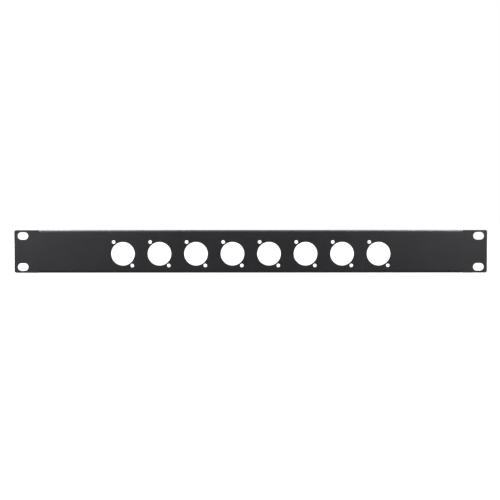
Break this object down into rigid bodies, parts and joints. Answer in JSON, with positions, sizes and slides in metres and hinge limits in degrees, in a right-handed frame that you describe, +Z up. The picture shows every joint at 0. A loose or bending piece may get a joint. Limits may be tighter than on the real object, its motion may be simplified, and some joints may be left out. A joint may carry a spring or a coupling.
{
  "type": "rack patch panel",
  "caption": "Unloaded patch bay: a one-unit rack panel folded from black steel sheet, with a row of round connector cut-outs, screw holes and obround rack slots.",
  "frame": {"origin": "centre of the sheet's rear face, the plane that seats on the rack rails", "axes": "+X along the panel to the viewer's right, +Y from the front face back into the rack, +Z up"},
  "size_m": [0.4826, 0.015, 0.0436],
  "materials": {
    "powder_coat": "satin black powder coat with a fine texture"
  },
  "bodies": {
    "root": {"folded_panel": "powder_coat"}
  },
  "joints": []
}
